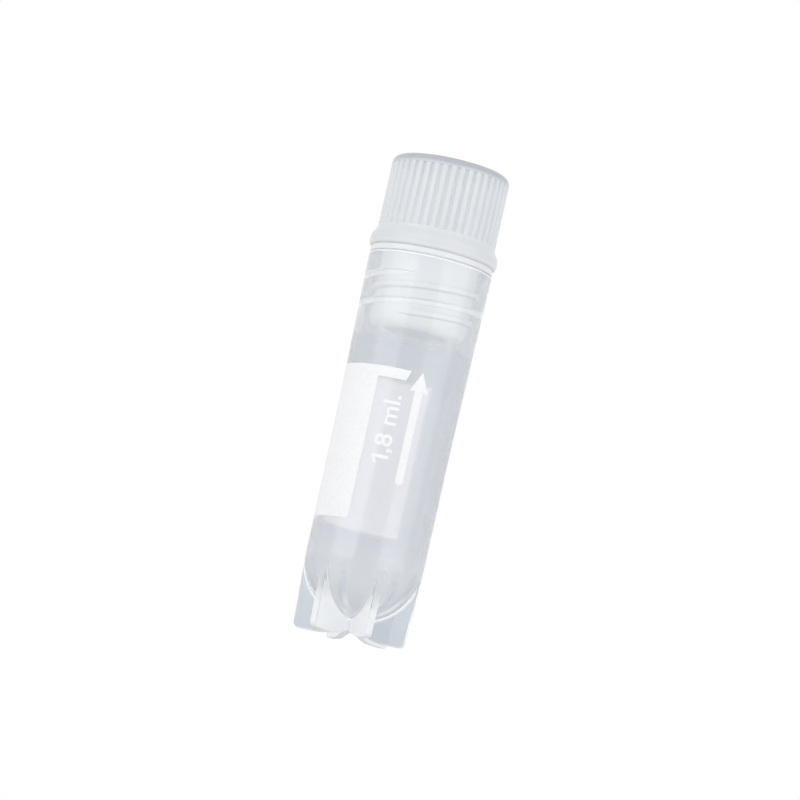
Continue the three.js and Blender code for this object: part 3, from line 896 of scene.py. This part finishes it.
def silicone_rubber():
    """The sealing ring: pressed silicone, translucent and dull, with its mould's fine grain."""
    material, tree = new_material("clear silicone rubber")
    place = add_node(tree, "ShaderNodeTexCoord").outputs["Object"]
    hazy_plastic(tree, flow_streaks_and_light_pools(tree, place, 0.7, 0.8), haze=linear("#edeff1"),
                 tint=linear("#f2f5f8"), roughness=0.3, grain=blasted(tree, place, 0.5))
    return material


def white_ink(name, film_colour):
    """Screen-printed ink: a dull white film, thin enough for light to come through.

    The mesh of the screen leaves it very slightly mottled.
    """
    material, tree = new_material(name)
    place = add_node(tree, "ShaderNodeTexCoord").outputs["Object"]
    mottling = add_node(tree, "ShaderNodeTexNoise", {
        "Vector": place, "Scale": 1 / (INK_MOTTLING * MM), "Detail": 3.0, "Roughness": 0.6})
    patches = add_node(tree, "ShaderNodeMapRange", {"Value": mottling, "From Min": 0.35, "From Max": 0.65})
    plain = linear(film_colour)
    dimmer = [channel * 0.955 for channel in plain]
    colour = add_node(tree, "ShaderNodeMix", {0: patches, 6: plain, 7: dimmer}, data_type="RGBA")
    bump = add_node(tree, "ShaderNodeBump", {
        "Height": mottling, "Strength": 0.3, "Distance": INK_RELIEF * MM})
    film = add_node(tree, "ShaderNodeBsdfPrincipled", {
        "Base Color": colour, "Roughness": 0.45, "Normal": bump})
    open_to_light(tree, film, "#f0f1f3")
    return material


# ---- Which faces take which finish -----------------------------------------------------------------

def finished(piece, material, body, node=None):
    only(piece)
    bpy.ops.object.shade_smooth_by_angle(angle=SMOOTH_BELOW)
    piece.data.materials.clear()
    piece.data.materials.append(material)
    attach(piece, body)
    if node:
        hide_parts(node)


def also_finished(piece, material, test):
    """Gives another finish to the faces whose middle, in millimetres, and normal pass the test."""
    piece.data.materials.append(material)
    number = len(piece.data.materials) - 1
    for face in piece.data.polygons:
        if test(face.center / MM, face.normal):
            face.material_index = number


def faces_the_axis(place, normal):
    return normal.x * place.x + normal.y * place.y < 0


def in_bore(place, normal):
    """On the inner skin of the tube, from the rim's inner edge down to the chamber's floor."""
    if place.z > DOME_CENTRE_Z:
        return (place.xy.length < THREAD_ZONE_RADIUS + MOUTH_CHAMFER
                and (faces_the_axis(place, normal) or place.z > THREAD_ZONE_Z))
    return (place - DOME_CENTRE).length < CHAMBER_RADIUS + FLOOR_THICKNESS / 2


# The rim's faces are taken in here so that the thread's white gives them painted light against the shade of
# the gap under the ring.
def on_thread_and_rim(place, normal):
    """On the ridge in the mouth, or on the rim and the first 0.15 mm below its rounding."""
    if place.z > RIM_Z - RIM_ROUNDING - 0.15:
        return True
    return place.z > THREAD_ZONE_Z and place.xy.length < THREAD_ZONE_RADIUS - ON_SURFACE


def on_fin_side(place, normal):
    """On a fin, and within 10 degrees of square to one of the planes that the fins stand in."""
    angles = [FIN_ANGLE + i * FIN_SECTOR for i in range(FIN_COUNT // 2)]
    across = max(abs(normal.dot(Vector((-math.sin(angle), math.cos(angle), 0)))) for angle in angles)
    return on_a_fin(place) and across > math.cos(math.radians(10))


def on_fin_edge(place, normal):
    return on_a_fin(place) and not on_fin_side(place, normal)


def in_hollow(place, normal):
    """Inside the plug, from most of the way up its mouth's rounding to the hollow's top."""
    return (place.xy.length < HOLLOW_RADIUS + ON_SURFACE
            and PLUG_END_Z + HOLLOW_MOUTH_ROUNDING * 0.8 < place.z < HOLLOW_TOP_Z + ON_SURFACE)


# ---- Studio ----------------------------------------------------------------------------------------

def make_floor():
    """A pale sheet that keeps shadows, is open from below, and is plain white through the plastic."""
    nothing_selected()
    bpy.ops.mesh.primitive_grid_add(x_subdivisions=8, y_subdivisions=8, size=FLOOR_SIZE * MM)
    floor = bpy.context.object
    floor.name = "studio_floor"
    material, tree = new_material("pale studio floor")
    paint = add_node(tree, "ShaderNodeBsdfPrincipled", {"Base Color": linear("#f2f3f4"), "Roughness": 0.6})
    open_below = add_node(tree, "ShaderNodeBsdfTransparent")
    side = add_node(tree, "ShaderNodeNewGeometry")
    one_sided = add_node(tree, "ShaderNodeMixShader", {
        0: side.outputs["Backfacing"], 1: paint, 2: open_below})
    white = add_node(tree, "ShaderNodeEmission", {"Color": linear("#f4f6f9"), "Strength": 1.0})
    path = add_node(tree, "ShaderNodeLightPath")
    through_plastic = add_node(tree, "ShaderNodeMixShader", {
        0: path.outputs["Is Transmission Ray"], 1: one_sided, 2: white})
    add_node(tree, "ShaderNodeOutputMaterial", {"Surface": through_plastic})
    floor.data.materials.append(material)


def make_world():
    """Soft light from all round, dimmer from straight above; seen, mirrored or refracted it is white."""
    world = bpy.data.worlds.new("white studio")
    bpy.context.scene.world = world
    world.use_nodes = True
    tree = world.node_tree
    tree.nodes.clear()
    path = add_node(tree, "ShaderNodeLightPath")
    seen = add_node(tree, "ShaderNodeMath", {
        0: path.outputs["Is Camera Ray"], 1: path.outputs["Is Transmission Ray"]}, operation="MAXIMUM")
    seen_or_mirrored = add_node(tree, "ShaderNodeMath", {
        0: seen, 1: path.outputs["Is Glossy Ray"]}, operation="MAXIMUM")
    direction = add_node(tree, "ShaderNodeTexCoord").outputs["Generated"]
    upwards = add_node(tree, "ShaderNodeSeparateXYZ", {"Vector": direction}).outputs["Z"]
    strength = add_node(tree, "ShaderNodeMapRange", {
        "Value": upwards, "From Max": 0.9, "To Min": 1.0, "To Max": 0.6})
    ambient = add_node(tree, "ShaderNodeBackground", {"Color": linear("#f8f7f6"), "Strength": strength})
    white = add_node(tree, "ShaderNodeBackground", {"Color": linear("#ffffff"), "Strength": 1.0})
    mixed = add_node(tree, "ShaderNodeMixShader", {0: seen_or_mirrored, 1: ambient, 2: white})
    add_node(tree, "ShaderNodeOutputWorld", {"Surface": mixed})


def make_lamps():
    """A key lamp at the left front and a fill lamp at the right front, both aimed at the vial's middle."""
    for name, place, power in (("key", (-0.62, -0.55, 0.35), 2.8), ("fill", (0.66, -0.5, 0.25), 2.6)):
        nothing_selected()
        bpy.ops.object.light_add(type="AREA", location=place)
        lamp = bpy.context.object
        lamp.name = name
        lamp.data.size = LAMP_SIZE * MM
        lamp.data.energy = power
        aim = Vector((0, 0, TOP_Z / 2 * MM)) - Vector(place)
        lamp.rotation_mode = "QUATERNION"
        lamp.rotation_quaternion = aim.to_track_quat("-Z", "Y")


def make_camera():
    nothing_selected()
    bpy.ops.object.camera_add()
    camera = bpy.context.object
    target = Vector((FRAME_SHIFT_X, 0, TOP_Z / 2 + FRAME_SHIFT_Z)) * MM
    back = Vector((0, -math.cos(CAMERA_ELEVATION), math.sin(CAMERA_ELEVATION)))
    camera.location = target + back * CAMERA_DISTANCE * MM
    camera.rotation_mode = "QUATERNION"
    level = (-back).to_track_quat("-Z", "Y")
    camera.rotation_quaternion = level @ Quaternion((0, 0, 1), CAMERA_ROLL)
    camera.data.lens = camera.data.sensor_width * CAMERA_DISTANCE / FRAME_WIDTH
    camera.data.clip_start = CAMERA_CLIP_START * MM
    bpy.context.scene.camera = camera


# ---- Scene -----------------------------------------------------------------------------------------

make_camera()
make_floor()
make_world()
make_lamps()

ink = white_ink("screen-printed white ink", "#f4f5f7")
# The ink's side against the wall is a lighter copy of the ink: painted light for the prints seen through
# the tube.
lighter_ink_on_wall = white_ink("screen-printed white ink, side against the wall", "#fdfbfc")

tube = make_tube()
finished(tube, wall_polypropylene(), "tube_body", "tube")
also_finished(tube, bore_polypropylene(), in_bore)
also_finished(tube, fin_side_polypropylene(), on_fin_side)
also_finished(tube, fin_edge_polypropylene(), on_fin_edge)
also_finished(tube, ridge_polypropylene(), on_thread_and_rim)
cap = make_cap()
finished(cap, cap_polypropylene(), "cap_body", "cap")
also_finished(cap, hollow_polypropylene(), in_hollow)
finished(make_sealing_ring(), silicone_rubber(), "ring_body", "gasket")
for ink_print in (make_writing_panel(tube), make_fill_arrow(tube), make_capacity_figures(tube)):
    finished(ink_print, ink, "tube_body")
    also_finished(ink_print, lighter_ink_on_wall, faces_the_axis)

# Enough for light to cross a dozen clear skins on the way in and as many on the way out.
LIGHT_BOUNCES = 24
bpy.context.scene.cycles.max_bounces = LIGHT_BOUNCES
bpy.context.scene.cycles.transmission_bounces = LIGHT_BOUNCES
bpy.context.scene.cycles.transparent_max_bounces = LIGHT_BOUNCES
bpy.context.scene.view_settings.view_transform = "Standard"
